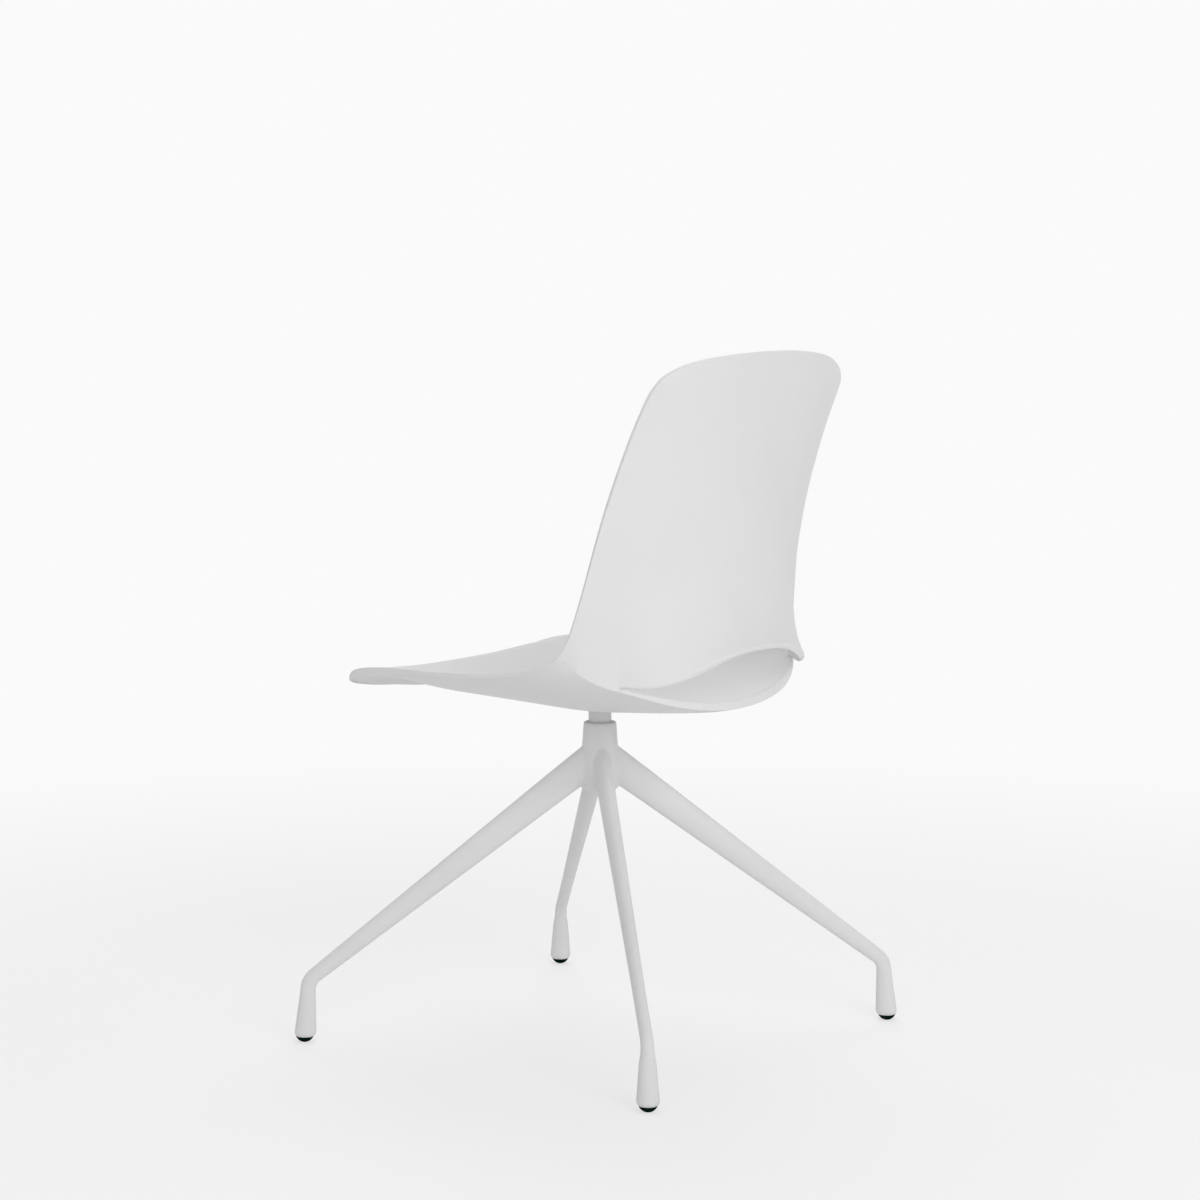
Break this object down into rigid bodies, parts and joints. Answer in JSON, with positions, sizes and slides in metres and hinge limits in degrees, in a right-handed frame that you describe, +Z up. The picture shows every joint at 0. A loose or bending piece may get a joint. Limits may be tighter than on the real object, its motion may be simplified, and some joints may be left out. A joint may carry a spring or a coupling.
{
  "type": "four leg swivel visitor chair",
  "caption": "Visitor chair: one-piece moulded shell with a slot between seat and back, on a turned stem that swivels in a hub with tapered legs and domed glides.",
  "frame": {"origin": "on the swivel axis at floor level", "axes": "+Z up along the swivel axis, the sitter faces -Y and +X is the sitter's left"},
  "size_m": [0.5194, 0.5194, 0.8112],
  "materials": {
    "shell_plastic": "fine matt moulded texture, white",
    "coated_metal": "white powder coating, matt",
    "plate_steel": "zinc plated",
    "screw_steel": "zinc plated",
    "brass": "turned",
    "bush_plastic": "natural acetal",
    "cap_plastic": "matt, white",
    "glide_plastic": "satin, near black",
    "sleeve_plastic": "matt, grey"
  },
  "bodies": {
    "base": {"hub": "coated_metal", "hub_cap": "cap_plastic", "upper_bush": "bush_plastic", "lower_bush": "bush_plastic", "thrust_washer": "bush_plastic", "leg_front_left": "coated_metal", "leg_front_right": "coated_metal", "leg_rear_left": "coated_metal", "leg_rear_right": "coated_metal", "glide_front_left": "glide_plastic", "glide_front_right": "glide_plastic", "glide_rear_left": "glide_plastic", "glide_rear_right": "glide_plastic", "glide_sleeves": "sleeve_plastic"},
    "seat": {"seat_shell": "shell_plastic", "shell_inserts": "brass", "mounting_plate": "plate_steel", "plate_screws": "screw_steel", "stem": "coated_metal", "retaining_washer": "screw_steel", "retaining_screw": "screw_steel"}
  },
  "joints": [
    {"name": "seat_swivel", "type": "hinge", "parent": "base", "child": "seat", "pos_m": [0, 0, 0.33], "axis": [0, 0, 1], "continuous": true}
  ]
}
